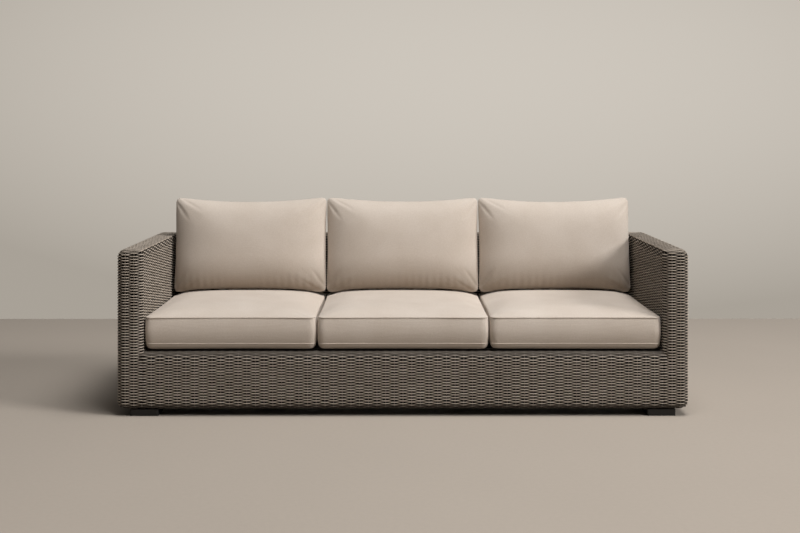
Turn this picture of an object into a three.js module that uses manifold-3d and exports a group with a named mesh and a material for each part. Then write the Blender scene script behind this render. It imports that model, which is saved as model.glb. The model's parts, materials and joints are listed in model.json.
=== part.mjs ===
// A three-seat woven garden sofa: an aluminium tube frame wrapped in woven strands, a slatted deck,
// four block feet and six loose cushions. Millimetres, +Z up, the front faces -Y. The origin is on
// the floor at the middle of the footprint.
import * as THREE from "three";
import { RoundedBoxGeometry } from "three/addons/geometries/RoundedBoxGeometry.js";
import { mergeVertices } from "three/addons/utils/BufferGeometryUtils.js";
import Module from "manifold-3d";

const wasm = await Module();
wasm.setup();

// Whole sofa
const sofaWidth = 2250;
const sofaDepth = 850;
const sofaHeight = 655;
const armThickness = 102;
const backThickness = 100;

// Heights above the floor
const bodyUnderside = 26;
const apronTop = 250;
const deckTop = 258;

// Woven skin, a sheet of strands over stakes
const weaveThickness = 12;
const weaveEdgeRadius = 30;
const weaveTurnedUnder = 40;
const apronLipDepth = 60;

// Clearances
const seatedGap = 0.3;
const looseGap = 0.6;
const cutOverrun = 5;

// Frame tube
const tubeSize = 25;
const tubeWall = 1.5;
const uprightOffset = 375;

// Slatted deck
const slatThickness = 8;
const slatWidth = 62;
const slatSpacing = 33;
const deckBarWidth = 20;
const deckSectionGap = 1;

// Feet and their bolts
const footWidth = 112;
const footDepth = 100;
const footCornerRadius = 6;
const footSideInset = 50;
const footFrontInset = 15;
const footBossWidth = 50;
const footBossDepth = 40;
const boltDiameter = 8;
const boltHeadAcross = 15;
const boltHeadHeight = 5.5;
const boltHeadRecess = 3;
const boltReachInRail = 7;
const boltHoleClearance = 1;
const headRecessDiameter = 22;

// Seat cushion
const cushionSideGap = 1.5;
const seatFrontSetback = 13;
const seatRearGap = 1.5;
const seatBoxingHeight = 127;
const seatCrown = 40;
const seatWeltHeight = 25;
const seatUnderRounding = 22;
const seatCornerRadius = 30;
const seamDrawIn = 3;
const seatSidesDrawIn = 4;
const seatPadding = 24;
const seatCoreRadius = 14;
const closureLength = 520;
const closureOpening = 5;

// Back cushion
const backSeamLow = 405;
const backSeamHeight = 425;
const backSeamFromWall = 135;
const backLeanDegrees = 8.3;
const backCornerRadius = 20;
const backFrontDome = 85;
const backRearDome = 100;
const backTopDip = 22;
const backBottomRise = 12;
const backSidesDrawIn = 6;
const backDrawnTogether = 6.5;
const backPadding = 18;

// Shares of the way from a cushion's middle to its seam, and how the dome falls over them
const crownRingShares = [0.97, 0.9, 0.75, 0.5, 0.25];
const crownFallShare = 5;
const crownFullnessShare = 0.6;
const domeRingShares = [0.985, 0.94, 0.86, 0.72, 0.5, 0.25];
const padRingShares = [0.94, 0.75, 0.4];
const domeFallShare = 2.8;
const domeFullnessShare = 0.5;

// Counts
const seatCount = 3;
const weaveCornerSteps = 2;
const coreCornerSteps = 1;
const cushionCornerSteps = 4;
const coverSidePoints = 4;
const padSidePoints = 2;
const boltSides = 16;
const hexSides = 6;
const footCornerSteps = 3;

// Places that follow from the sizes above
const halfWidth = sofaWidth / 2;
const halfDepth = sofaDepth / 2;
const bayHalfWidth = halfWidth - armThickness;
const backFace = halfDepth - backThickness;
const backSeamY = backFace - backSeamFromWall;
const lipRear = apronLipDepth - halfDepth;
const flangeTop = bodyUnderside + weaveThickness;
const lipUnderside = apronTop - weaveThickness;
const frameHalfWidth = halfWidth - weaveThickness - seatedGap;
const frameHalfDepth = halfDepth - weaveThickness - seatedGap;
const frameBottom = flangeTop + seatedGap;
const frameTop = sofaHeight - weaveThickness - seatedGap;

const vec = (x, y, z) => new THREE.Vector3(x, y, z);

// Surfaces and booleans

function boxBetween(low, high) {
  const size = high.clone().sub(low);
  const middle = low.clone().add(high).multiplyScalar(0.5);
  return new THREE.BoxGeometry(size.x, size.y, size.z).translate(middle.x, middle.y, middle.z);
}

function roundedBetween(low, high, radius, steps) {
  const size = high.clone().sub(low);
  const middle = low.clone().add(high).multiplyScalar(0.5);
  const block = new RoundedBoxGeometry(size.x, size.y, size.z, steps, radius);
  return block.translate(middle.x, middle.y, middle.z);
}

function solidOf(geometry) {
  const bare = geometry.index ? geometry.toNonIndexed() : geometry.clone();
  bare.deleteAttribute("normal");
  bare.deleteAttribute("uv");
  const merged = mergeVertices(bare);
  return new wasm.Manifold(
    new wasm.Mesh({
      numProp: 3,
      vertProperties: merged.attributes.position.array,
      triVerts: new Uint32Array(merged.index.array),
    }),
  );
}

const boxSolid = (low, high) => solidOf(boxBetween(low, high));

function geometryOf(solid) {
  const mesh = solid.getMesh();
  const geometry = new THREE.BufferGeometry();
  geometry.setAttribute("position", new THREE.BufferAttribute(mesh.vertProperties, 3));
  geometry.setIndex(new THREE.BufferAttribute(mesh.triVerts, 1));
  const flat = geometry.toNonIndexed();
  flat.computeVertexNormals();
  return flat;
}

// Rings of points, all with the same count, skinned in order and closed by a fan at each end.
function skinned(startPoint, rings, endPoint) {
  const count = rings[0].length;
  const points = [startPoint, ...rings.flat(), endPoint];
  const faces = [];
  for (let k = 0; k < count; k += 1) {
    const next = (k + 1) % count;
    faces.push(0, 1 + next, 1 + k);
    for (let ring = 1; ring < rings.length; ring += 1) {
      const high = 1 + ring * count;
      const low = high - count;
      faces.push(low + k, low + next, high + next, low + k, high + next, high + k);
    }
    const top = 1 + (rings.length - 1) * count;
    faces.push(top + k, top + next, points.length - 1);
  }
  const geometry = new THREE.BufferGeometry().setFromPoints(points);
  geometry.setIndex(faces);
  return geometry;
}

// A rounded rectangle about the origin, counter-clockwise, with points along its sides too.
// Its sides are drawn in at their middles: left and right by drawSide, the other two by
// drawHigh and drawLow.
function cushionOutline(form, sidePoints) {
  const { halfX, halfY, radius, drawSide, drawHigh, drawLow } = form;
  const signs = [[1, 1], [-1, 1], [-1, -1], [1, -1]];
  const cornerPoint = (corner, step) => {
    const [signX, signY] = signs[corner];
    const angle = (corner + step / cushionCornerSteps) * (Math.PI / 2);
    return [
      signX * (halfX - radius) + radius * Math.cos(angle),
      signY * (halfY - radius) + radius * Math.sin(angle),
    ];
  };
  const outline = [];
  for (let corner = 0; corner < signs.length; corner += 1) {
    for (let step = 0; step <= cushionCornerSteps; step += 1) outline.push(cornerPoint(corner, step));
    const from = cornerPoint(corner, cushionCornerSteps);
    const to = cornerPoint((corner + 1) % signs.length, 0);
    for (let k = 1; k < sidePoints; k += 1) {
      const share = k / sidePoints;
      outline.push([from[0] + (to[0] - from[0]) * share, from[1] + (to[1] - from[1]) * share]);
    }
  }
  return outline.map(([x, y]) => ({
    x: x * (1 - (drawSide / halfX) * (1 - (y / halfY) ** 2)),
    y: y * (1 - ((y > 0 ? drawHigh : drawLow) / halfY) * (1 - (x / halfX) ** 2)),
    across: Math.abs(x / halfX),
    along: Math.abs(y / halfY),
  }));
}

// How far a dome has risen at a share of the way out to a point of its outline: 1 in the middle.
function domeRise(point, share, fall, fullness) {
  const across = 1 - (point.across * share) ** fall;
  const along = 1 - (point.along * share) ** fall;
  return (across * along) ** fullness;
}

// Woven skins: one hollow shell, open underneath and over the deck, parted at the arms

function wovenShell() {
  const outside = [
    [vec(-halfWidth, -halfDepth, bodyUnderside), vec(halfWidth, halfDepth, apronTop)],
    [vec(-halfWidth, -halfDepth, bodyUnderside), vec(-bayHalfWidth, halfDepth, sofaHeight)],
    [vec(bayHalfWidth, -halfDepth, bodyUnderside), vec(halfWidth, halfDepth, sofaHeight)],
    [vec(-halfWidth, backFace, bodyUnderside), vec(halfWidth, halfDepth, sofaHeight)],
  ];
  const wall = vec(weaveThickness, weaveThickness, weaveThickness);
  const inside = outside.map(([low, high]) => [low.clone().add(wall), high.clone().sub(wall)]);
  const underside = [
    vec(weaveTurnedUnder - halfWidth, weaveTurnedUnder - halfDepth, bodyUnderside - cutOverrun),
    vec(halfWidth - weaveTurnedUnder, halfDepth - weaveTurnedUnder, flangeTop + cutOverrun),
  ];
  const deck = [
    vec(-bayHalfWidth, lipRear, lipUnderside - cutOverrun),
    vec(bayHalfWidth, backFace + weaveThickness + tubeSize, deckTop + looseGap),
  ];
  const blocks = outside.map(([low, high]) =>
    solidOf(roundedBetween(low, high, weaveEdgeRadius, weaveCornerSteps)));
  const full = blocks.reduce((joined, block) => joined.add(block));
  return [...inside, underside, deck].reduce((rest, [low, high]) => rest.subtract(boxSolid(low, high)), full);
}

function wovenSkins() {
  const shell = wovenShell();
  const part = bayHalfWidth + seatedGap / 2;
  const reach = halfWidth + cutOverrun;
  const top = sofaHeight + cutOverrun;
  const between = (lowX, highX, lowY, highY) =>
    geometryOf(shell.intersect(boxSolid(vec(lowX, lowY, 0), vec(highX, highY, top))));
  const deep = halfDepth + cutOverrun;
  const inner = part - seatedGap;
  return {
    left_arm_weave: between(-reach, -part, -deep, deep),
    right_arm_weave: between(part, reach, -deep, deep),
    apron_weave: between(-inner, inner, -deep, 0),
    back_weave: between(-inner, inner, 0, deep),
  };
}

// Frame: square tubes, butted end to side

const span = (start, size) => [start, start + size];
const mirrored = ([low, high]) => [-high, -low];
const clearEnds = ([low, high]) => [low + seatedGap, high - seatedGap];

const outerRailX = span(-frameHalfWidth, tubeSize);
const innerRailX = span(-(bayHalfWidth + weaveThickness + seatedGap + tubeSize), tubeSize);
const frontRailY = span(-frameHalfDepth, tubeSize);
const rearRailY = span(frameHalfDepth - tubeSize, tubeSize);
const backFrontY = span(backFace + weaveThickness + seatedGap, tubeSize);
const bottomRailZ = span(frameBottom, tubeSize);
const topRailZ = span(frameTop - tubeSize, tubeSize);
const seatRailZ = span(lipUnderside - seatedGap - tubeSize, tubeSize);
const postZ = clearEnds([bottomRailZ[1], topRailZ[0]]);
const shortPostZ = clearEnds([bottomRailZ[1], seatRailZ[0]]);
const fullWidthX = [-frameHalfWidth, frameHalfWidth];
const betweenArmsX = clearEnds([innerRailX[1], -innerRailX[1]]);
const sideRailY = clearEnds([frontRailY[1], rearRailY[0]]);
const topSideRailY = [frontRailY[0], rearRailY[0] - seatedGap];
const bearerY = clearEnds([frontRailY[1], backFrontY[0]]);
const uprightX = span(-uprightOffset - tubeSize / 2, tubeSize);

// A square tube filling the given ranges, open at both ends of its length.
function squareTube(x, y, z, length) {
  const low = vec(x[0], y[0], z[0]);
  const high = vec(x[1], y[1], z[1]);
  const inset = vec(tubeWall, tubeWall, tubeWall);
  inset[length] = -cutOverrun;
  return boxSolid(low, high).subtract(boxSolid(low.clone().add(inset), high.clone().sub(inset)));
}

function frameTubes() {
  const tubes = {
    front_bottom_rail: [fullWidthX, frontRailY, bottomRailZ, "x"],
    rear_bottom_rail: [fullWidthX, rearRailY, bottomRailZ, "x"],
    front_seat_rail: [betweenArmsX, frontRailY, seatRailZ, "x"],
    rear_seat_rail: [betweenArmsX, backFrontY, seatRailZ, "x"],
    back_top_rail_front: [betweenArmsX, backFrontY, topRailZ, "x"],
    back_top_rail_rear: [fullWidthX, rearRailY, topRailZ, "x"],
  };
  const leftTubes = {
    bottom_rail_outer: [outerRailX, sideRailY, bottomRailZ, "y"],
    bottom_rail_inner: [innerRailX, sideRailY, bottomRailZ, "y"],
    top_rail_outer: [outerRailX, topSideRailY, topRailZ, "y"],
    top_rail_inner: [innerRailX, topSideRailY, topRailZ, "y"],
    front_post_outer: [outerRailX, frontRailY, postZ, "z"],
    front_post_inner: [innerRailX, frontRailY, postZ, "z"],
    rear_post_outer: [outerRailX, rearRailY, postZ, "z"],
    rear_post_inner: [innerRailX, backFrontY, postZ, "z"],
    deck_bearer_outer: [span(betweenArmsX[0], tubeSize), bearerY, seatRailZ, "y"],
    deck_bearer_inner: [span(-sectionPitch() / 2 - tubeSize / 2, tubeSize), bearerY, seatRailZ, "y"],
    apron_upright: [uprightX, frontRailY, shortPostZ, "z"],
    back_upright: [uprightX, rearRailY, postZ, "z"],
  };
  for (const [name, [x, y, z, length]] of Object.entries(leftTubes)) {
    tubes["left_" + name] = [x, y, z, length];
    tubes["right_" + name] = [mirrored(x), y, z, length];
  }
  const solids = Object.entries(tubes).map(([name, tube]) => [name, squareTube(...tube)]);
  return Object.fromEntries(solids);
}

// Deck: three slatted sections lying on the bearers

function sectionPitch() {
  return (2 * (bayHalfWidth - looseGap) + deckSectionGap) / seatCount;
}

// One section: a shallow tray turned over, with its top cut into slats.
function deckSection() {
  const halfX = (sectionPitch() - deckSectionGap) / 2;
  const lowY = lipRear + looseGap;
  const highY = backFrontY[1];
  const slatPitch = slatWidth + slatSpacing;
  const slots = Math.floor((highY - lowY - slatWidth) / slatPitch);
  const firstSlot = (highY + lowY - slots * slatPitch + slatWidth) / 2;
  const barInside = halfX - deckBarWidth;
  const slotEnd = barInside - slatThickness;
  const block = boxSolid(vec(-halfX, lowY, lipUnderside), vec(halfX, highY, deckTop));
  const cuts = [[
    vec(-barInside, lowY - cutOverrun, lipUnderside - cutOverrun),
    vec(barInside, highY + cutOverrun, deckTop - slatThickness),
  ]];
  for (let k = 0; k < slots; k += 1) {
    const slotLow = firstSlot + k * slatPitch;
    cuts.push([
      vec(-slotEnd, slotLow, lipUnderside),
      vec(slotEnd, slotLow + slatSpacing, deckTop + cutOverrun),
    ]);
  }
  return geometryOf(cuts.reduce((rest, [low, high]) => rest.subtract(boxSolid(low, high)), block));
}

// Feet: a block with a boss up to the rail, and the bolt that holds it

const boltX = (innerRailX[0] + innerRailX[1]) / 2;
const boltInsetY = footFrontInset + footDepth / 2;
const headUnderside = boltHeadRecess + boltHeadHeight + seatedGap;

function roundBar(diameter, low, high, sides) {
  const bar = new THREE.CylinderGeometry(diameter / 2, diameter / 2, high - low, sides);
  return bar.rotateX(Math.PI / 2).translate(0, 0, (low + high) / 2);
}

// The foot about its bolt's axis, for the left of the sofa.
function cornerFoot() {
  const lowX = footSideInset - halfWidth - boltX;
  const block = roundedBetween(
    vec(lowX, -footDepth / 2, -footCornerRadius),
    vec(lowX + footWidth, footDepth / 2, bodyUnderside - seatedGap + footCornerRadius),
    footCornerRadius,
    footCornerSteps,
  );
  const slab = boxSolid(
    vec(lowX - cutOverrun, -footDepth, 0),
    vec(lowX + footWidth + cutOverrun, footDepth, bodyUnderside - seatedGap),
  );
  const boss = boxSolid(
    vec(-footBossWidth / 2, -footBossDepth / 2, bodyUnderside / 2),
    vec(footBossWidth / 2, footBossDepth / 2, flangeTop),
  );
  const boltHole = roundBar(boltDiameter + boltHoleClearance, -cutOverrun, flangeTop + cutOverrun, boltSides);
  const headHole = roundBar(headRecessDiameter, -cutOverrun, headUnderside, boltSides);
  return solidOf(block).intersect(slab).add(boss).subtract(solidOf(boltHole)).subtract(solidOf(headHole));
}

function footBolt() {
  const shankTop = frameBottom + tubeWall + boltReachInRail;
  const head = roundBar(boltHeadAcross, boltHeadRecess, boltHeadRecess + boltHeadHeight, hexSides);
  const shank = roundBar(boltDiameter, boltHeadRecess + boltHeadHeight / 2, shankTop, boltSides);
  return geometryOf(solidOf(head).add(solidOf(shank)));
}

// The bolt's hole through the lower wall of the rail over each foot.
function withBoltHoles(rail, x) {
  const hole = roundBar(
    boltDiameter + boltHoleClearance, frameBottom - cutOverrun, frameBottom + cutOverrun, boltSides,
  );
  const offset = halfDepth - boltInsetY;
  const front = solidOf(hole.clone().translate(x, -offset, 0));
  const rear = solidOf(hole.clone().translate(x, offset, 0));
  return rail.subtract(front).subtract(rear);
}

// Cushions

const cushionPitch = (2 * (bayHalfWidth - cushionSideGap) + cushionSideGap) / seatCount;
const cushionHalfWidth = (cushionPitch - cushionSideGap) / 2;
const seatLowY = seatFrontSetback - halfDepth;
const seatHalfDepth = (backFace - seatRearGap - seatLowY) / 2;
const seatMiddleY = seatLowY + seatHalfDepth;
const seatUnderside = deckTop + seatedGap;
const seatSeamZ = seatUnderside + seatBoxingHeight;

// The outer form of a seat cushion about its own middle in x and y: flat below, rounded to a welt,
// an upright boxing that swells a little between its two seams, and a crowned top.
function seatForm() {
  const outlineAt = (inset) => cushionOutline({
    halfX: cushionHalfWidth - inset,
    halfY: seatHalfDepth - inset,
    radius: seatCornerRadius,
    drawSide: seatSidesDrawIn,
    drawHigh: seatSidesDrawIn,
    drawLow: seatSidesDrawIn,
  }, coverSidePoints);
  const level = (inset, z) => outlineAt(inset).map(({ x, y }) => vec(x, y, z));
  const crown = (share) => outlineAt(seamDrawIn).map((point) => {
    const rise = domeRise(point, share, crownFallShare, crownFullnessShare);
    return vec(point.x * share, point.y * share, seatSeamZ + seatCrown * rise);
  });
  const weltZ = seatUnderside + seatWeltHeight;
  const rings = [
    level(seatUnderRounding, seatUnderside),
    level(seatUnderRounding / 3, seatUnderside + seatWeltHeight / 3),
    level(seamDrawIn, weltZ),
    level(0, (weltZ + seatSeamZ) / 2),
    level(seamDrawIn, seatSeamZ),
    ...crownRingShares.map(crown),
  ];
  return skinned(vec(0, 0, seatUnderside), rings, vec(0, 0, seatSeamZ + seatCrown));
}

// The foam block, and the hollow it lies in, which is larger by the gap given.
function seatCoreForm(gap) {
  const inset = seatPadding - gap;
  const low = vec(inset - cushionHalfWidth, inset - seatHalfDepth, seatUnderside + seatPadding / 2 - gap);
  const high = vec(cushionHalfWidth - inset, seatHalfDepth - inset, seatSeamZ + gap);
  return roundedBetween(low, high, seatCoreRadius + gap, coreCornerSteps);
}

// The padded cover, with the closure's slot through its rear boxing into the hollow.
function seatCover() {
  const slotZ = seatUnderside + seatBoxingHeight / 2;
  const slot = boxSolid(
    vec(-closureLength / 2, seatHalfDepth - 2 * seatPadding, slotZ - closureOpening / 2),
    vec(closureLength / 2, seatHalfDepth + cutOverrun, slotZ + closureOpening / 2),
  );
  return solidOf(seatForm()).subtract(solidOf(seatCoreForm(seatedGap))).subtract(slot);
}

// The back cushions stand a little closer together than the seat cushions under them.
const backPitch = cushionPitch - backDrawnTogether;
const backHalfWidth = (backPitch - cushionSideGap) / 2;
const backHalfHeight = backSeamHeight / 2;
const backLean = THREE.MathUtils.degToRad(backLeanDegrees);

// A pillow about its own middle, its seam in the upright plane y = 0: two domes whose outline is
// drawn in at the sides, the top and the bottom, which leaves the corners standing out as ears.
function pillowForm(inset, shares, sidePoints) {
  const seam = cushionOutline({
    halfX: backHalfWidth - inset,
    halfY: backHalfHeight - inset,
    radius: backCornerRadius,
    drawSide: backSidesDrawIn,
    drawHigh: backTopDip,
    drawLow: backBottomRise,
  }, sidePoints);
  const ringAt = (share, depth) => seam.map((point) => {
    const rise = depth * domeRise(point, share, domeFallShare, domeFullnessShare);
    return vec(point.x * share, rise, point.y * share);
  });
  const rearDepth = backRearDome - inset;
  const frontDepth = backFrontDome - inset;
  const rear = [...shares].reverse().map((share) => ringAt(share, rearDepth));
  const front = shares.map((share) => ringAt(share, -frontDepth));
  return skinned(vec(0, rearDepth, 0), [...rear, ringAt(1, 0), ...front], vec(0, -frontDepth, 0));
}

// Leans a form back and stands its seam's low corners at their height on the seat.
function leaned(geometry) {
  geometry.translate(0, 0, backHalfHeight);
  geometry.rotateX(-backLean);
  return geometry.translate(0, backSeamY, backSeamLow);
}

// The padded cover: a pillow pressed flat where it rests on the sofa's back and on the seat cushion,
// whose middle lies off to the side by seatOffset, hollow for its filling, with the closure's slot
// through its lower seam.
function backCover(seatOffset) {
  const pillow = solidOf(leaned(pillowForm(0, domeRingShares, coverSidePoints)));
  const hollow = solidOf(leaned(pillowForm(backPadding - seatedGap, padRingShares, padSidePoints)));
  const slot = solidOf(leaned(boxBetween(
    vec(-closureLength / 2, -closureOpening / 2, -backHalfHeight - cutOverrun),
    vec(closureLength / 2, closureOpening / 2, 2 * backPadding + backBottomRise - backHalfHeight),
  )));
  const seatBelow = solidOf(seatForm().translate(seatOffset, seatMiddleY, seatedGap));
  const sofaBack = boxSolid(
    vec(-sofaWidth, backFace - seatedGap, 0),
    vec(sofaWidth, sofaDepth, 2 * sofaHeight),
  );
  return [seatBelow, sofaBack, hollow, slot].reduce((rest, cut) => rest.subtract(cut), pillow);
}

// Materials

const finish = (color, roughness, metalness) =>
  new THREE.MeshStandardMaterial({ color, roughness, metalness });
const wovenStrand = finish(0x8a8177, 0.6, 0);
const coatedTube = finish(0x4a443d, 0.5, 0.2);
const coatedSlat = finish(0x5b544c, 0.5, 0.2);
const footPlastic = finish(0x1d1b19, 0.5, 0);
const zincSteel = finish(0xa8a8a6, 0.35, 1);
const creamCloth = finish(0xd6c8b8, 0.9, 0);
const foam = finish(0xe9dcae, 0.95, 0);
const fibre = finish(0xf2f0ec, 0.95, 0);

// Assembly

const sofa = new THREE.Group();

function addPiece(parent, name, geometry, material) {
  const mesh = new THREE.Mesh(geometry, material);
  mesh.name = name;
  parent.add(mesh);
  return mesh;
}

for (const [name, skin] of Object.entries(wovenSkins())) addPiece(sofa, name, skin, wovenStrand);

for (const [name, tube] of Object.entries(frameTubes())) {
  const side = name.startsWith("left") ? boltX : -boltX;
  const bored = name.endsWith("bottom_rail_inner") ? withBoltHoles(tube, side) : tube;
  addPiece(sofa, name, geometryOf(bored), coatedTube);
}

const foot = geometryOf(cornerFoot());
const bolt = footBolt();
for (const [side, x, turn] of [["left", boltX, 0], ["right", -boltX, Math.PI]]) {
  for (const [end, y] of [["front", boltInsetY - halfDepth], ["rear", halfDepth - boltInsetY]]) {
    const corner = new THREE.Group();
    corner.position.set(x, y, 0);
    corner.rotation.z = turn;
    addPiece(corner, `${end}_${side}_foot`, foot, footPlastic);
    addPiece(corner, `${end}_${side}_foot_bolt`, bolt, zincSteel);
    sofa.add(corner);
  }
}

const section = deckSection();
const seatCoverShape = geometryOf(seatCover());
const seatCoreShape = geometryOf(solidOf(seatCoreForm(0)));
const backPadShape = leaned(pillowForm(backPadding, padRingShares, padSidePoints));
["left", "centre", "right"].forEach((place, index) => {
  const step = index - (seatCount - 1) / 2;
  const deck = addPiece(sofa, `${place}_seat_slats`, section, coatedSlat);
  deck.position.x = step * sectionPitch();
  const seat = new THREE.Group();
  seat.position.set(step * cushionPitch, seatMiddleY, 0);
  addPiece(seat, `${place}_seat_cushion_cover`, seatCoverShape, creamCloth);
  addPiece(seat, `${place}_seat_cushion_foam`, seatCoreShape, foam);
  const back = new THREE.Group();
  back.position.x = step * backPitch;
  const backCoverShape = geometryOf(backCover(step * backDrawnTogether));
  addPiece(back, `${place}_back_cushion_cover`, backCoverShape, creamCloth);
  addPiece(back, `${place}_back_cushion_filling`, backPadShape, fibre);
  sofa.add(seat, back);
});

export default sofa;
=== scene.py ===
"""Weaves, upholsters and lights a three-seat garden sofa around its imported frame."""

import json
import math

import bpy
import numpy as np
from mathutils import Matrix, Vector


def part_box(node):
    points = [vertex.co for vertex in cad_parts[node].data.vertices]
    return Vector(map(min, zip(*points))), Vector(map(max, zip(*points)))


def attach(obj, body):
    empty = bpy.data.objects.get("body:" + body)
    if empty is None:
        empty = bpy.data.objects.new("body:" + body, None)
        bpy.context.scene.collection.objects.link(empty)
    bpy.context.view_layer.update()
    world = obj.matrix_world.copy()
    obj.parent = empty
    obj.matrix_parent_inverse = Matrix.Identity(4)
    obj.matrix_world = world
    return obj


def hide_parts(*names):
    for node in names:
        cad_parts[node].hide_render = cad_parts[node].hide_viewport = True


bl_info = {
    "name": "Woven Garden Sofa",
    "version": (1, 0, 0),
    "blender": (4, 5, 0),
    "location": "3D View > Sidebar > Sofa",
    "description": "Weaves, upholsters and lights a three-seat garden sofa around its packed frame",
    "category": "Object",
}

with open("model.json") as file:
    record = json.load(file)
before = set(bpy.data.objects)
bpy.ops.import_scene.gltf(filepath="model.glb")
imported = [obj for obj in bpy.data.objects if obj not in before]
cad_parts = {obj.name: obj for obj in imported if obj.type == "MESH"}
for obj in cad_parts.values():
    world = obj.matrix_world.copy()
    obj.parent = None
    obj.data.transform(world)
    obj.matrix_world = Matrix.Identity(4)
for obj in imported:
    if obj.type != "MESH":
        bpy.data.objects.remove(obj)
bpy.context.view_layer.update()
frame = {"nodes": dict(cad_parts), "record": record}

PLACES = ("left", "centre", "right")
BODY = "sofa_frame"
QUARTER = math.pi / 2

# Counts that set how fine the meshes are
STEPS = 4
STRAND_SIDES = 5
CORD_SIDES = 8
CORD_POINTS = 260
RING_POINTS = 240

# How dark strands are painted where they leave the plain wall, from 0 on a crest to 1 deep behind: painted
# shade over the tops and the undersides, painted shadow of the seat cushions over the apron's top, and
# painted shade on the stakes and the rim strand
TOP_PAINTED_SHADE = 0.35
APRON_TOP_PAINTED_SHADE = 0.45
UNDERSIDE_PAINTED_SHADE = 0.46
STAKE_PAINTED_SHADE = 0.44
RIM_PAINTED_SHADE = 0.33

# How a cushion's shell and cords lie about its form, and how far cushions press on one another sideways
SHELL_INSET = 0.002
CORD_INSET = 0.004
CORD_PROUD = 0.0004
PRESSED = np.array([0.002, 0, 0])

ARM_LOW, ARM_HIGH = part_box("left_arm_weave")
APRON_LOW, APRON_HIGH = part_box("apron_weave")
BACK_LOW, BACK_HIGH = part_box("back_weave")


def linear(red, green, blue):
    """A colour given in steps of 255, as the linear shares that shaders take."""
    return tuple((step / 255) ** 2.2 for step in (red, green, blue))


# Settings that a user would change


def length_setting(name, description, default):
    """A length in metres that a user can set."""
    return bpy.props.FloatProperty(name=name, description=description, default=default, unit="LENGTH")


def share_setting(name, description, default):
    """A share from none to all that a user can set."""
    return bpy.props.FloatProperty(name=name, description=description, default=default, min=0, max=1)


def power_setting(name, description, default):
    """A lamp's power that a user can set."""
    return bpy.props.FloatProperty(name=name, description=description, default=default, unit="POWER")


def colour_setting(name, description, *steps):
    """A colour that a user can set, with its default in steps of 255."""
    return bpy.props.FloatVectorProperty(
        name=name, description=description, default=linear(*steps), subtype="COLOR", min=0, max=1,
    )


class SofaWeaveSettings(bpy.types.PropertyGroup):
    strand_diameter: length_setting("Strand Diameter", "Thickness of one round strand", 0.0039)
    row_pitch: length_setting("Row Pitch", "Distance from one strand to the next", 0.00549)
    behind_swell: share_setting(
        "Behind Swell", "How much thicker a strand is where it passes behind a stake", 0.8
    )
    stake_pitch: length_setting("Stake Pitch", "Distance between the stakes that the strands pass", 0.0341)
    stake_diameter: length_setting("Stake Diameter", "Thickness of one stake", 0.0042)
    wave_depth: length_setting(
        "Wave Depth", "How far a strand's middle swings before and behind the stakes", 0.0036
    )
    outer_inset: length_setting("Outer Inset", "Depth of the skin's middle below its outer faces", 0.0019)
    inner_inset: length_setting(
        "Inner Inset", "Depth of the skin's middle below the faces beside the cushions", 0.004
    )
    under_inset: length_setting("Under Inset", "Height of the skin's middle over the underside", 0.006)
    top_flatness: share_setting(
        "Top Flatness", "Share of the wave that is lost where strands run over the top", 0.6
    )
    rim_diameter: length_setting(
        "Rim Diameter", "Thickness of the strand along the arms' inner top edge", 0.0052
    )
    edge_radius: length_setting("Edge Radius", "Bend of the skin's middle at the outer edges", 0.027)
    inner_edge_radius: length_setting(
        "Inner Edge Radius", "Bend of the skin's middle at the arms' inner top edge", 0.004
    )
    strand_colour: colour_setting("Strand Colour", "Lighter tone of the strands", 204, 192, 179)
    strand_dark_colour: colour_setting("Dark Strand Colour", "Darker tone of the strands", 159, 147, 133)
    # Painted shade: the near-black colour that strands are painted where they lie back behind a stake, and
    # partly over tops and undersides
    painted_shade_colour: colour_setting(
        "Recess Colour", "Tone of the strands where they pass behind a stake", 11, 8, 6
    )


class SofaCushionSettings(bpy.types.PropertyGroup):
    cloth_colour: colour_setting("Cloth Colour", "Main tone of the cushion cloth", 212, 201, 190)
    cloth_shade_colour: colour_setting(
        "Cloth Shade Colour", "Tone of the cloth's darker yarns", 197, 184, 171
    )
    # Painted shade: the cloth is painted towards this colour low on the cushions, where back cushions meet
    # the seats and at the foot of the seats' boxing
    cloth_painted_shade_colour: colour_setting(
        "Cloth Deep Colour", "Tone of the cloth low down, where cushions meet", 128, 112, 95
    )
    voxel: length_setting("Remesh Size", "Face size of a cushion before it is pressed out", 0.0075)
    pressure: bpy.props.FloatProperty(
        name="Pressure", description="How hard the filling presses the cloth out", default=4.0,
    )
    seat_swell: length_setting("Seat Swell", "Furthest that a point of a seat cushion may move", 0.022)
    back_swell: length_setting("Back Swell", "Furthest that a point of a back cushion may move", 0.022)
    welt_diameter: length_setting("Welt Diameter", "Thickness of the seat cushions' sewn welts", 0.0036)
    seam_diameter: length_setting("Seam Diameter", "Thickness of the back cushions' sewn edge", 0.0026)


class SofaFrameSettings(bpy.types.PropertyGroup):
    tube_colour: colour_setting("Tube Colour", "Powder coat of the frame's tubes", 34, 31, 28)
    slat_colour: colour_setting("Slat Colour", "Powder coat of the seat slats", 60, 55, 50)
    foot_colour: colour_setting("Foot Colour", "Moulded plastic of the feet", 28, 26, 23)
    bolt_colour: colour_setting("Bolt Colour", "Zinc plating of the bolts", 186, 187, 186)
    foam_colour: colour_setting("Foam Colour", "Foam inside the seat cushions", 226, 218, 190)
    filling_colour: colour_setting("Filling Colour", "Fibre inside the back cushions", 234, 232, 226)


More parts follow.
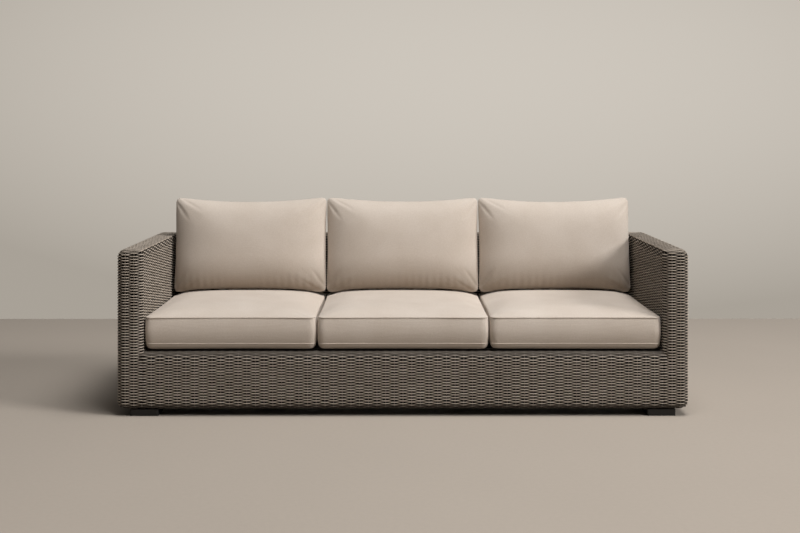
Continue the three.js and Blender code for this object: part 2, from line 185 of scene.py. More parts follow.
class SofaStageSettings(bpy.types.PropertyGroup):
    camera_place: bpy.props.FloatVectorProperty(
        name="Camera Place", description="Where the camera stands", subtype="TRANSLATION", unit="LENGTH",
        default=(-0.021, -5.225, 1.126),
    )
    camera_turn: bpy.props.FloatProperty(
        name="Camera Turn", description="How far the camera is turned to the right", subtype="ANGLE",
        default=math.radians(0.108),
    )
    camera_shift: bpy.props.FloatProperty(
        name="Camera Shift", description="Upright lens shift as a share of the picture's width",
        default=-0.1706,
    )
    lens: bpy.props.FloatProperty(
        name="Lens", description="Focal length on a 36 mm wide sensor", subtype="DISTANCE_CAMERA",
        default=55.0,
    )
    floor_colour: colour_setting("Floor Colour", "Tone of the plain floor", 176, 166, 155)
    # The wall is painted with a pool of light: its colour where it is brightest, falling off to its shade
    # colour low down and far out
    wall_colour: colour_setting("Wall Colour", "Tone of the plain wall where it is brightest", 204, 197, 187)
    wall_shade_colour: colour_setting(
        "Wall Shade Colour", "Tone of the plain wall low down and far out", 167, 160, 150
    )
    wall_distance: length_setting("Wall Distance", "How far the wall stands behind the sofa's middle", 2.065)
    key_power: power_setting("Key Power", "Power of the far lamp at the upper right", 1380.0)
    top_power: power_setting("Top Power", "Power of the soft lamp overhead", 450.0)
    world_strength: bpy.props.FloatProperty(
        name="World Strength", description="Strength of the even light from all round", default=0.09,
    )


# Tubes: profiles carried along many paths at once


def unit(vectors):
    """Each vector divided by its length."""
    return vectors / np.linalg.norm(vectors, axis=-1, keepdims=True)


def tube_rings(middles, outward, radius, sides, closed=False):
    """Rings round paths: middle + radius (up cos a + side sin a), with side square to path and outward.

    middles and outward are shaped (path, ring, 3), and the rings come back as (path, ring, side, 3).
    """
    if closed:
        along = np.roll(middles, -1, axis=1) - np.roll(middles, 1, axis=1)
    else:
        along = np.gradient(middles, axis=1)
    along = unit(along)
    side = unit(np.cross(along, outward))
    up = np.cross(side, along)
    angle = np.arange(sides) * (2 * math.pi / sides)
    spread = up[:, :, None, :] * np.cos(angle)[None, None, :, None]
    spread = spread + side[:, :, None, :] * np.sin(angle)[None, None, :, None]
    reach = np.broadcast_to(radius, middles.shape[:2])[:, :, None, None]
    return middles[:, :, None, :] + spread * reach


def tube_faces(paths, rings, sides, closed):
    """Corner numbers of the quads between neighbouring rings, and of the end caps, facing outwards."""
    grid = np.arange(paths * rings * sides).reshape(paths, rings, sides)
    ahead = np.roll(grid, -1, axis=1) if closed else grid[:, 1:]
    here = grid if closed else grid[:, :-1]
    quads = np.stack([here, np.roll(here, -1, axis=2), np.roll(ahead, -1, axis=2), ahead], axis=-1)
    caps = np.empty((0, sides), int)
    if not closed:
        caps = np.concatenate([grid[:, 0, ::-1], grid[:, -1]])
    return quads.reshape(-1, 4), caps


def placed(name, data):
    """A new object of a mesh, a lamp or a camera, in the scene."""
    made = bpy.data.objects.new(name, data)
    bpy.context.scene.collection.objects.link(made)
    return made


def mesh_of(name, points, quads, caps):
    """A mesh object of quads and many-sided caps, put in with foreach_set."""
    mesh = bpy.data.meshes.new(name)
    mesh.vertices.add(len(points))
    mesh.vertices.foreach_set("co", points.astype(np.float32).ravel())
    corners = np.concatenate([quads.ravel(), caps.ravel()])
    mesh.loops.add(len(corners))
    mesh.loops.foreach_set("vertex_index", corners.astype(np.int32))
    cap_starts = quads.size + np.arange(len(caps)) * caps.shape[1]
    starts = np.concatenate([np.arange(len(quads)) * 4, cap_starts])
    mesh.polygons.add(len(starts))
    mesh.polygons.foreach_set("loop_start", starts.astype(np.int32))
    mesh.polygons.foreach_set("use_smooth", np.ones(len(starts), bool))
    mesh.update(calc_edges=True)
    return placed(name, mesh)


def point_values(mesh, name, values):
    """Stores one number per vertex under a name that a material reads."""
    layer = mesh.attributes.new(name, "FLOAT", "POINT")
    layer.data.foreach_set("value", values.astype(np.float32).ravel())


def tube_bundle(name, bundle):
    """One object of many tubes, with a flat map where each tube is a level strip.

    bundle is a list of (rings, recess, tone), each over (path, ring, side), where the second is how much
    painted shade each point takes.
    """
    points, quads, caps, flat, painted_shade, tone = [], [], [], [], [], []
    strips = sum(rings.shape[0] for rings, _, _ in bundle)
    base, strip = 0, 0
    for rings, deep, shade in bundle:
        paths, count, sides = rings.shape[:3]
        some_quads, some_caps = tube_faces(paths, count, sides, False)
        points.append(rings.reshape(-1, 3))
        quads.append(some_quads + base)
        caps.append(some_caps + base)
        painted_shade.append(deep.ravel())
        tone.append(shade.ravel())
        flat.append(strip_map(paths, count, sides, strip, strips))
        base += rings.size // 3
        strip += paths
    made = mesh_of(name, np.concatenate(points), np.concatenate(quads), np.concatenate(caps))
    # Stores each point's painted shade for the strand material
    point_values(made.data, "painted_shade", np.concatenate(painted_shade))
    point_values(made.data, "tone", np.concatenate(tone))
    across = [quad_map for quad_map, _ in flat]
    ends = [cap_map for _, cap_map in flat]
    layer = made.data.uv_layers.new(name="OFBake")
    layer.data.foreach_set("uv", np.concatenate(across + ends).astype(np.float32).ravel())
    return made


def strip_map(paths, count, sides, strip, strips):
    """Places in the flat map: share along the tube, and the tube's strip plus the share round it."""
    path, ring, side = np.meshgrid(np.arange(paths), np.arange(count - 1), np.arange(sides), indexing="ij")
    corners = []
    for next_ring, next_side in ((0, 0), (0, 1), (1, 1), (1, 0)):
        share = (ring + next_ring) / (count - 1)
        level = (strip + path + (side + next_side) / sides) / strips
        corners.append(np.stack([share, level], axis=-1))
    quad_map = np.stack(corners, axis=3).reshape(-1, 2)
    low = (strip + np.arange(paths)) / strips
    around = np.arange(sides) / sides
    cap_height = 0.2 / count
    cap_level = (low[:, None] + around[None, :] / strips).ravel()
    cap_share = np.tile(cap_height * np.sin(around * math.pi), paths)
    first = np.stack([cap_share, cap_level], axis=-1)
    last = np.stack([1 - cap_share, cap_level], axis=-1)
    return quad_map, np.concatenate([first, last])


# Places on the woven skin


def even_count(length, pitch):
    """The even number of pitches nearest to a length."""
    return 2 * round(length / pitch / 2)


def stepped(first, last):
    """Cell numbers of the rings along a row, from first to last."""
    return np.arange(first * STEPS, last * STEPS + 1) / STEPS


def eased(values, start, span):
    """Shares that rise from 0 at start to 1 after span."""
    return np.clip((values - start) / span, 0, 1)


def rounded_path(cells, knots, corners, radius):
    """Place and outward direction in plan at each cell number, for many rows at once.

    A row's path runs through its square corners, each rounded with the row's radius. Straights and
    arcs take turns, and a cell's share of its stretch between two knots is its share of the length.
    corners is shaped (row, corner, 2), radius (row,) and cells (cell,).
    """
    rows, count = corners.shape[:2]
    place = np.empty((rows, len(cells), 2))
    outward = np.empty((rows, len(cells), 2))
    heading = unit(np.diff(corners, axis=1))
    normal = np.stack([-heading[..., 1], heading[..., 0]], axis=-1)
    turn = radius[:, None]
    cells = np.clip(cells, knots[0], knots[-1])
    for stretch in range(2 * count - 3):
        inside = (cells >= knots[stretch]) & (cells <= knots[stretch + 1])
        share = (cells[inside] - knots[stretch]) / (knots[stretch + 1] - knots[stretch])
        share = share[None, :, None]
        leg = stretch // 2
        if stretch % 2 == 0:
            start = corners[:, leg] + (heading[:, leg] * turn if leg else 0)
            end = corners[:, leg + 1] - (heading[:, leg] * turn if leg < count - 2 else 0)
            place[:, inside] = start[:, None] + (end - start)[:, None] * share
            outward[:, inside] = normal[:, leg][:, None]
        else:
            centre = corners[:, leg + 1] + (heading[:, leg + 1] - heading[:, leg]) * turn
            direction = normal[:, leg][:, None] * np.cos(share * QUARTER)
            direction = direction + normal[:, leg + 1][:, None] * np.sin(share * QUARTER)
            place[:, inside] = centre[:, None] + direction * turn[:, None]
            outward[:, inside] = direction
    return place, outward


def section(arc, low, high, bend, lip):
    """Inset, height and tilt of the skin's middle at a length along its upright section.

    The section comes out along the underside for lip, turns a quarter round bend, climbs the wall,
    turns a second quarter and runs in over the top. Tilt goes from straight down to straight up.
    """
    quarter = bend * QUARTER
    wall = high - low - 2 * bend
    first = np.clip((arc - lip) / bend, 0, QUARTER)
    second = np.clip((arc - lip - quarter - wall) / bend, 0, QUARTER)
    tilt = first + second - QUARTER
    climb = np.clip(arc - lip - quarter, 0, wall)
    level = np.maximum(lip - arc, 0) + np.maximum(arc - lip - 2 * quarter - wall, 0)
    return bend * (1 - np.cos(tilt)) + level, low + bend + bend * np.sin(tilt) + climb, tilt


def sharper_section(arc, low, high, bend, lip, sharp):
    """The section with its top bend made sharp: the same lengths stretched over the square corner."""
    quarter = bend * QUARTER
    start = lip + quarter + high - low - 2 * bend
    share = eased(arc, start, quarter)
    straight = bend - sharp
    whole = 2 * straight + sharp * QUARTER
    gone = share * whole
    turned = np.clip((gone - straight) / sharp, 0, QUARTER)
    inset, height, tilt = section(arc, low, high, bend, lip)
    over = np.clip(gone - straight - sharp * QUARTER, 0, straight)
    bent = share > 0
    new_inset = sharp * (1 - np.cos(turned)) + over + np.maximum(arc - start - quarter, 0)
    new_height = high - bend + np.minimum(gone, straight) + sharp * np.sin(turned)
    return (
        np.where(bent, new_inset, inset),
        np.where(bent, new_height, height),
        np.where(bent, turned, tilt),
    )


def lifted(place, outward, height, tilt):
    """Plan places at their rows' heights, with the outward directions tilted."""
    level = np.broadcast_to(height[:, None, None], place.shape[:2] + (1,))
    lean = tilt[:, None, None]
    upward = np.broadcast_to(np.sin(lean), level.shape)
    return np.concatenate([place, level], axis=2), np.concatenate([outward * np.cos(lean), upward], axis=2)


class Skin:
    """The middle of the woven skin: its section, its plan corners and the cells along its rows."""

    def __init__(self, look):
        self.look = look
        self.inset = look.outer_inset
        self.bend = look.edge_radius
        self.low = ARM_LOW.z + look.under_inset
        self.high = ARM_HIGH.z - self.inset
        self.apron_high = APRON_HIGH.z - self.inset
        self.split = self.apron_high - self.bend
        turned_under = 0.040
        self.lip = turned_under - self.inset - self.bend
        self.seam_x = ARM_HIGH.x
        self.inner_x = ARM_HIGH.x - look.inner_inset
        self.outer_x = ARM_LOW.x + self.inset
        self.front_y = ARM_LOW.y + self.inset
        self.rear_y = ARM_HIGH.y - self.inset
        self.back_y = BACK_LOW.y + look.inner_inset
        self.quarter = self.bend * QUARTER
        self.seat_cells = even_count(2 * abs(self.seam_x), look.stake_pitch)
        across = self.seam_x - self.outer_x - self.bend
        deep = self.rear_y - self.front_y - 2 * self.bend
        lengths = [across, self.quarter, deep, self.quarter, across]
        self.arm_cells = even_count(sum(lengths), look.stake_pitch)
        pitch = sum(lengths) / self.arm_cells
        self.low_knots = np.concatenate([[0], np.cumsum(lengths)]) / pitch
        inner_end = (self.seam_x - self.inner_x + self.bend) / pitch
        self.inner_cells = even_count(self.back_y - self.front_y, look.stake_pitch)
        self.high_knots = np.concatenate(
            [[-self.inner_cells, inner_end - self.quarter / pitch, inner_end], self.low_knots[1:]]
        )

    def cut(self, arcs, high):
        """Inset, height and tilt of the skin's middle at lengths along the section up to a top at high."""
        return section(arcs, self.low, high, self.bend, self.lip)

    def top_bend(self, high):
        """Length along the section where its top bend starts."""
        return self.lip + self.quarter + (high - self.low - 2 * self.bend)

    def arcs(self, high, reach):
        """Every row's length along the section, up to reach beyond its top bend.

        Rows keep their pitch up the wall. From the top bend on they are spread so that the last one lies
        at the very end.
        """
        start = self.top_bend(high)
        whole = start + self.quarter + reach
        rows = (np.arange(int(whole / self.look.row_pitch + 0.5)) + 0.5) * self.look.row_pitch
        spread = start + (rows - start) * (whole - start) / (rows[-1] - start)
        return np.where(rows > start, spread, rows)

    def radius(self, inset):
        """The plan corner's radius of rows set in by inset, never tighter than a strand can lie."""
        tightest = 0.55 * self.look.strand_diameter
        return np.maximum(self.bend - inset, tightest)

    def corners(self, inset, above_seat):
        """Corners in plan of the rows round the left arm to the rear seam.

        They start at the front seam, or above the seat at the corner between the arm and the back.
        """
        inner, outer, seam = self.inner_x - inset, self.outer_x + inset, self.seam_x + 0 * inset
        front, rear = self.front_y + inset, self.rear_y - inset
        start = [(inner, self.back_y + inset), (inner, front)] if above_seat else [(seam, front)]
        path = [*start, (outer, front), (outer, rear), (seam, rear)]
        return np.stack([np.stack(corner, axis=-1) for corner in path], axis=1)

    def round_arm(self, cells, cut, above_seat):
        """Places and outward directions of the left arm's rows, at the insets, heights and tilts of cut."""
        inset, height, tilt = cut
        knots = self.high_knots if above_seat else self.low_knots
        path = rounded_path(cells, knots, self.corners(inset, above_seat), self.radius(inset))
        return lifted(*path, height, tilt)

    def arm_sheet(self, cells, arcs):
        """Places and outward directions of the left arm's rows above the seat, its inner edge sharper."""
        rounded = self.cut(arcs, self.high)
        sharp = sharper_section(
            arcs, self.low, self.high, self.bend, self.lip, self.look.inner_edge_radius
        )
        sheets = [self.round_arm(cells, cut, above_seat=True) for cut in (rounded, sharp)]
        _, start, end = self.high_knots[:3]
        weight = (1 - eased(cells, start, end - start))[None, :, None]
        place = sheets[0][0] * (1 - weight) + sheets[1][0] * weight
        return place, unit(sheets[0][1] * (1 - weight) + sheets[1][1] * weight)

    def low_sheet(self, cells, arcs):
        """Places and outward directions of the left arm's rows below the seat."""
        return self.round_arm(cells, self.cut(arcs, self.high), above_seat=False)

    def straight_sheet(self, cells, arcs, high, wall_y, inward, overrun=0.0):
        """Places and outward directions of rows between the arms, which end at overrun past each seam."""
        inset, height, tilt = self.cut(arcs, high)
        x = self.seam_x + cells / self.seat_cells * 2 * abs(self.seam_x)
        x = np.broadcast_to(x, (len(arcs), len(cells))).copy()
        x[:, 0] -= overrun
        x[:, -1] += overrun
        y = np.broadcast_to((wall_y + inward * inset)[:, None], x.shape)
        outward = np.broadcast_to(np.array([0.0, -inward]), x.shape + (2,))
        return lifted(np.stack([x, y], axis=-1), outward, height, tilt)

    def stake_arcs(self, high, first, reach):
        """Lengths along the section where a stake needs a point: closely on the bends, once per wall."""
        top = self.top_bend(high)
        bend = np.linspace(0, self.quarter, 6)
        arcs = np.concatenate([[0.0], self.lip + bend, top + bend, [top + self.quarter + reach]])
        nearest = 0.001
        return np.concatenate([[first], arcs[arcs > first + nearest]])

    def straight_stakes(self, high, wall_y, inward, first, reach):
        """Rings of the stakes between the arms, from first on the section to reach past its top bend."""
        cells = np.arange(1.0, self.seat_cells)
        stops = self.stake_arcs(high, first, reach)
        return stakes(self.straight_sheet(cells, stops, high, wall_y, inward), self.look)


# Weave


def mirrored(sheet):
    """Places and directions of the other side of the sofa."""
    return tuple(part * np.array([-1.0, 1.0, 1.0]) for part in sheet)


def cell_draw(draw, rows, cells, low, high):
    """A number for each crest of each row, carried smoothly from crest to crest."""
    knots = np.arange(math.floor(cells[0]), math.ceil(cells[-1]) + 1)
    values = draw.uniform(low, high, (rows, len(knots)))
    just_before_last = len(knots) - 1.001
    place = np.clip(cells - knots[0], 0, just_before_last)
    before = place.astype(int)
    share = place - before
    share = share * share * (3 - 2 * share)
    return values[:, before] * (1 - share) + values[:, before + 1] * share


def strands(sheet, cells, numbers, look, seed, top_painted_shade=TOP_PAINTED_SHADE):
    """Rings of strands that swing before and behind the stakes by turns.

    A strand's middle is place + outward * depth * cos(pi (cell + row)), and less deep where it passes
    behind, where the strand is thicker too. The depth dies away where the stakes crowd together and where
    the sheet faces up, and seeded draws make each crest its own.
    """
    place, outward = sheet
    draw = np.random.default_rng(seed)
    rows = len(numbers)
    spacing = np.linalg.norm(np.gradient(place, axis=1), axis=2) * STEPS
    room = eased(spacing, start=0.004, span=0.018)
    facing_up = eased(outward[:, :, 2], start=0.35, span=0.5) * look.top_flatness
    facing_down = eased(-outward[:, :, 2:], start=0.2, span=0.5)

    swing = np.cos(math.pi * (cells[None, :] + numbers[:, None]))
    behind_share, top_swell = 0.75, 0.5
    depths, thicknesses = (0.86, 1.08), (0.94, 1.05)
    depth = look.wave_depth * room * (1 - facing_up) * cell_draw(draw, rows, cells, *depths)
    offset = (depth * np.maximum(swing, behind_share * swing))[:, :, None] * outward
    across = unit(np.cross(np.gradient(place, axis=1), outward))
    drift = 0.0008
    wobble = cell_draw(draw, rows, cells, -drift, drift)[:, :, None] * across
    radius = look.strand_diameter / 2 * cell_draw(draw, rows, cells, *thicknesses)
    radius = radius * np.maximum(1 + top_swell * facing_up, 1 + look.behind_swell * (1 - swing) / 2)
    rings = tube_rings(place + offset + wobble, outward, radius, STRAND_SIDES)

    # Painted shade: each point's height over the sheet sets how dark it is painted, darker where the strand
    # lies back behind a stake, then pulled to set levels where the sheet faces up or down
    lift = rings - place[:, :, None, :] + offset[:, :, None, :]
    height = np.einsum("pqsk,pqk->pqs", lift, outward) / 2
    painted_shade = 0.5 - height / (2 * look.wave_depth + look.strand_diameter)
    top_pull = 1.4
    painted_shade = painted_shade + (top_painted_shade - painted_shade) * top_pull * facing_up[:, :, None]
    painted_shade = painted_shade + (UNDERSIDE_PAINTED_SHADE - painted_shade) * facing_down
    row_tone, crest_tone = 0.35, 0.65
    tone = draw.uniform(0, row_tone, (rows, 1)) + cell_draw(draw, rows, cells, 0, crest_tone)
    return rings, painted_shade, np.broadcast_to(tone[:, :, None], painted_shade.shape)


def plain_tubes(rings, painted_shade, tone):
    """Rings with one level of painted shade and one tone throughout."""
    return rings, np.full(rings.shape[:3], painted_shade), np.full(rings.shape[:3], tone)


def stakes(sheet, look):
    """Rings of the stakes: thin rods that follow the sheet across the rows."""
    places, outward = (part.swapaxes(0, 1) for part in sheet)
    rings = tube_rings(places, outward, look.stake_diameter / 2, STRAND_SIDES)
    # The stakes take a set level of painted shade
    return plain_tubes(rings, STAKE_PAINTED_SHADE, tone=0.6)


def add_piece(made, material, nodes, body=BODY):
    """Gives a finished piece its material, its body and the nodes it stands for."""
    made.data.materials.append(material)
    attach(made, body)
    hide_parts(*nodes)
    return made


def add_woven(name, bundle, node, material):
    """One finished piece of many tubes, which stands for a node of the skin together with its like."""
    add_piece(tube_bundle(name, bundle), material, [node])


def add_cloth(made, body, material):
    """Finishes a piece of a cushion, which stands for the cushion's cover together with its like."""
    return add_piece(made, material, [f"{body}_cover"], body)


def weave_arm(side, skin, look, material):
    """Both halves of one arm's weave, its stakes and the rim strand along its inner top edge."""
    node = f"{side}_arm_weave"
    turn = mirrored if side == "right" else tuple
    middle = (skin.inner_x - skin.outer_x) / 2
    reach = middle - skin.bend - 0.5 * look.row_pitch
    arcs = skin.arcs(skin.high, reach)
    numbers = np.arange(len(arcs))
    heights = skin.cut(arcs, skin.high)[1]
    low, high = heights < skin.split, heights >= skin.split
    low_cells = stepped(0, skin.arm_cells)
    high_cells = stepped(-skin.inner_cells, skin.arm_cells)
    seed = PLACES.index(side)
    low_sheet = turn(skin.low_sheet(low_cells, arcs[low]))
    high_sheet = turn(skin.arm_sheet(high_cells, arcs[high]))
    low_rows = strands(low_sheet, low_cells, numbers[low], look, seed)
    high_rows = strands(high_sheet, high_cells, numbers[high], look, seed + 10)
    add_woven(f"{side}_arm_lower_strands", [low_rows], node, material)
    add_woven(f"{side}_arm_strands", [high_rows], node, material)

    bundle = []
    outer = np.arange(1.0, skin.arm_cells)
    inner = np.arange(-skin.inner_cells, 1.0)
    stakes_short = 0.004
    for cells, first in ((outer, 0.0), (inner, arcs[high][0])):
        stops = skin.stake_arcs(skin.high, first, reach - stakes_short)
        bundle.append(stakes(turn(skin.arm_sheet(cells, stops)), look))
    add_woven(f"{side}_arm_stakes", bundle, node, material)

    cells = stepped(-skin.inner_cells, 0)
    edge = skin.top_bend(skin.high) + skin.quarter / 2
    place, outward = turn(skin.arm_sheet(cells, np.array([edge])))
    proud_share = 0.35
    middles = place + outward * (look.rim_diameter * proud_share)
    rings = tube_rings(middles, outward, look.rim_diameter / 2, CORD_SIDES)
    # The rim strand takes a set level of painted shade
    add_woven(f"{side}_arm_rim", [plain_tubes(rings, RIM_PAINTED_SHADE, tone=0.3)], node, material)


def weave_apron(skin, look, material):
    """The apron's weave from its turned-under edge over its front and along its top."""
    lip_top = APRON_HIGH.y - APRON_LOW.y - skin.inset - skin.bend
    arcs = skin.arcs(skin.apron_high, lip_top - 0.5 * look.row_pitch)
    cells = stepped(0, skin.seat_cells)
    behind_arms = np.where(arcs > skin.top_bend(skin.apron_high), 0.5 * skin.bend, 0.0)
    sheet = skin.straight_sheet(cells, arcs, skin.apron_high, skin.front_y, 1, behind_arms)
    rows = strands(sheet, cells, np.arange(len(arcs)), look, 3, APRON_TOP_PAINTED_SHADE)
    add_woven("apron_strands", [rows], "apron_weave", material)
    upright = skin.straight_stakes(skin.apron_high, skin.front_y, 1, 0.0, lip_top)
    add_woven("apron_stakes", [upright], "apron_weave", material)


def weave_back(skin, look, material):
    """The back's weave: the rear below and above seat height, the inner face and the top."""
    node = "back_weave"
    half_depth = (skin.rear_y - skin.back_y) / 2
    reach = half_depth - skin.bend - 0.5 * look.row_pitch
    arcs = skin.arcs(skin.high, reach)
    numbers = np.arange(len(arcs))
    insets, heights, _ = skin.cut(arcs, skin.high)
    cells = stepped(0, skin.seat_cells)
    above_seat = heights > APRON_HIGH.z
    behind_arms = insets[above_seat] + skin.seam_x - skin.inner_x
    rear = (skin.rear_y, -1)
    inner = (skin.back_y, 1)
    parts = (
        ("back_lower_strands", heights < skin.split, rear, 0.0),
        ("back_rear_strands", heights >= skin.split, rear, 0.0),
        ("back_inner_strands", above_seat, inner, behind_arms),
    )
    for order, (name, chosen, wall, overrun) in enumerate(parts):
        sheet = skin.straight_sheet(cells, arcs[chosen], skin.high, *wall, overrun)
        add_woven(name, [strands(sheet, cells, numbers[chosen], look, 4 + order)], node, material)
    upright = [
        skin.straight_stakes(skin.high, *wall, first, reach)
        for wall, first in ((rear, 0.0), (inner, arcs[above_seat][0]))
    ]
    add_woven("back_stakes", upright, node, material)


# Cushions


def drawn_outline(half_x, half_y, radius, draw_x, draw_high, draw_low, count):
    """count points round a rounded rectangle whose sides are drawn in at their middles.

    x (1 - draw / half_x (1 - (y / half_y)^2)), and y likewise. Comes back with each point's shares of
    the two half sizes before the draw.
    """
    start, right, left = (half_x, 0.0), half_x, -half_x
    corners = np.array(
        [[start, (right, -half_y), (left, -half_y), (left, half_y), (right, half_y), start]]
    )
    long, short, quarter = 2 * (half_x - radius), half_y - radius, radius * QUARTER
    lengths = [short, quarter, long, quarter, 2 * short, quarter, long, quarter, short]
    knots = np.concatenate([[0], np.cumsum(lengths)])
    cells = np.arange(count) * (knots[-1] / count)
    place, _ = rounded_path(cells, knots, corners, np.array([radius]))
    x, y = place[0, ::-1, 0], place[0, ::-1, 1]
    draw_y = np.where(y > 0, draw_high, draw_low)
    across, along = x / half_x, y / half_y
    drawn_x = x * (1 - draw_x / half_x * (1 - along**2))
    drawn_y = y * (1 - draw_y / half_y * (1 - across**2))
    return np.stack([drawn_x, drawn_y], axis=-1), np.abs(across), np.abs(along)


def rise_of(across, along, share, fall, fullness):
    """How far a dome has risen: ((1 - (across share)^fall)(1 - (along share)^fall))^fullness."""
    return ((1 - (across * share) ** fall) * (1 - (along * share) ** fall)) ** fullness


def dome_shares(count, closeness):
    """Shares of a dome's outline from its edge in to a small last ring, closest together at the edge."""
    smallest = 0.01
    return np.append(1 - np.linspace(0, 1, count)[1:-1] ** closeness, smallest)


def ringed_mesh(name, rings):
    """A closed mesh of rings (ring, point, 3), whose first and last rings are shrunk to poles."""
    count, around = rings.shape[:2]
    poles = np.stack([rings[0].mean(axis=0), rings[-1].mean(axis=0)])
    points = np.concatenate([rings.reshape(-1, 3), poles])
    grid = np.arange(count * around).reshape(count, around)
    ahead = np.roll(grid, -1, axis=1)
    quads = np.stack([grid[:-1], ahead[:-1], ahead[1:], grid[1:]], axis=-1).reshape(-1, 4)
    first = np.stack([np.full(around, count * around), ahead[0], grid[0]], axis=-1)
    last = np.stack([np.full(around, count * around + 1), grid[-1], ahead[-1]], axis=-1)
    return mesh_of(name, points, quads, np.concatenate([first, last]))


class SeatForm:
    """Shape of one seat cushion about its own middle: x across, y deep, z up from its underside."""

    def __init__(self, node):
        low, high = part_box(node)
        self.middle = (low + high) / 2
        self.middle.z = low.z
        self.half_x = (high.x - low.x) / 2
        self.half_y = (high.y - low.y) / 2

        # Heights of the two seams over the underside, and how far the crown rises over the upper one
        self.boxing = 0.127
        self.welt = 0.025
        self.crown = high.z - low.z - self.boxing
        self.fall = 5
        self.fullness = 0.6

        # The outline's corners and drawn-in sides, and how far the underside and the seams lie inside it
        self.corner = 0.030
        self.draw = 0.004
        self.under = 0.022
        self.seam_in = 0.001
        self.seam_dip = np.array([0.002 / self.half_x, 0.006 / self.half_y])

    def outline(self, inset, count):
        """The cushion's outline set in from its widest by inset."""
        tightest = 0.008
        halves = (self.half_x - inset, self.half_y - inset)
        return drawn_outline(*halves, max(self.corner - inset, tightest), *[self.draw] * 3, count)

    def held(self, points):
        """Whether each point is on the underside or near one of the side seams, which the cloth keeps."""
        near, side_band, underside_band = 0.006, 0.02, 0.008
        low = points[:, 2] < underside_band
        top_seam = np.abs(points[:, 2] - self.boxing) < near
        welt = np.abs(points[:, 2] - self.welt) < near
        side_x = np.abs(points[:, 0]) > self.half_x - side_band
        side_y = np.abs(points[:, 1]) > self.half_y - side_band
        return low | ((side_x | side_y) & (top_seam | welt))

    def rings(self, shrink, count):
        """Rings from the underside's middle, out and up the boxing, over the seam and in on the crown."""

        def level_ring(inset, scale, height):
            place = self.outline(inset + shrink, count)[0]
            return np.column_stack([place * scale, np.full(count, height)])

        under_shares = (0.02, 0.3, 0.6, 0.85, 0.96)
        turn_rings, side_rings = 6, 15
        rings = [level_ring(self.under, share, shrink) for share in under_shares]
        for turn in np.linspace(0, 1, turn_rings):
            angle = turn * QUARTER
            inset = self.seam_in + (self.under - self.seam_in) * (1 - math.sin(angle))
            height = shrink + self.welt * (1 - math.cos(angle))
            rings.append(level_ring(inset, 1 - self.seam_dip, height))
        for share in np.linspace(0, 1, side_rings)[1:]:
            inset = self.seam_in * (1 - math.sin(share * math.pi) ** 0.8)
            height = self.welt + (self.boxing - self.welt) * share
            rings.append(level_ring(inset, 1 - self.seam_dip * abs(2 * share - 1) ** 1.6, height))
        place, across, along = self.outline(self.seam_in + shrink, count)
        place = place * (1 - self.seam_dip)
        for share in dome_shares(40, closeness=1.5):
            rise = (self.crown - shrink) * rise_of(across, along, share, self.fall, self.fullness)
            rings.append(np.column_stack([place * share, self.boxing + rise]))
        return np.array(rings)


class BackForm:
    """Shape of one back cushion before it leans: x across, y deep and z up, about its seam's middle."""

    def __init__(self, node):
        low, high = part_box(node)
        self.middle_x = (low.x + high.x) / 2
        self.half_x = (high.x - low.x) / 2
        self.half_z = 0.2125

        # Where the middle of the low edge stands, and how far the cushion leans back about it
        self.foot = Vector((self.middle_x, 0.190, 0.405))
        self.lean = math.radians(8.3)

        # The knife edge: its corners, and how far its top, bottom and sides are drawn in
        self.corner = 0.028
        self.top_dip = 0.022
        self.bottom_rise = 0.012
        self.draw = 0.006

        # The two domes on either side of it
        self.front_dome = 0.085
        self.rear_dome = 0.100
        self.fall = 2.8
        self.fullness = 0.5

    def seam(self, inset, count):
        """The knife edge all round, set in by inset."""
        halves = (self.half_x - inset, self.half_z - inset)
        return drawn_outline(*halves, self.corner, self.draw, self.top_dip, self.bottom_rise, count)

    def held(self, points):
        """Whether each point is on the knife edge, which the cloth keeps."""
        near = 0.004
        return np.abs(points[:, 1]) < near

    def rings(self, shrink, count):
        """Rings from the rear dome's middle over the knife edge to the front dome's middle."""
        place, across, along = self.seam(shrink, count)
        rings = [self.ring(place, 1.0, np.zeros(count))]
        for share in dome_shares(44, closeness=1.7):
            rise = rise_of(across, along, share, self.fall, self.fullness)
            rings.insert(0, self.ring(place, share, (self.rear_dome - shrink) * rise))
            rings.append(self.ring(place, share, (shrink - self.front_dome) * rise))
        return np.array(rings)

    def ring(self, place, share, depth):
        """One ring of the pillow, standing upright."""
        return np.column_stack([place[:, 0] * share, depth, place[:, 1] * share])

    def leaned(self, points):
        """Turns points back by the lean about the cushion's low edge and stands them in place."""
        raised = points + np.array([0, 0, self.half_z])
        cos, sin = math.cos(self.lean), math.sin(self.lean)
        y = raised[:, 1] * cos + raised[:, 2] * sin
        z = raised[:, 2] * cos - raised[:, 1] * sin
        return np.column_stack([raised[:, 0], y, z]) + np.array(self.foot)


def vertex_array(mesh):
    """The mesh's vertex places as an array."""
    places = np.empty(len(mesh.vertices) * 3, np.float32)
    mesh.vertices.foreach_get("co", places)
    return places.reshape(-1, 3).astype(float)


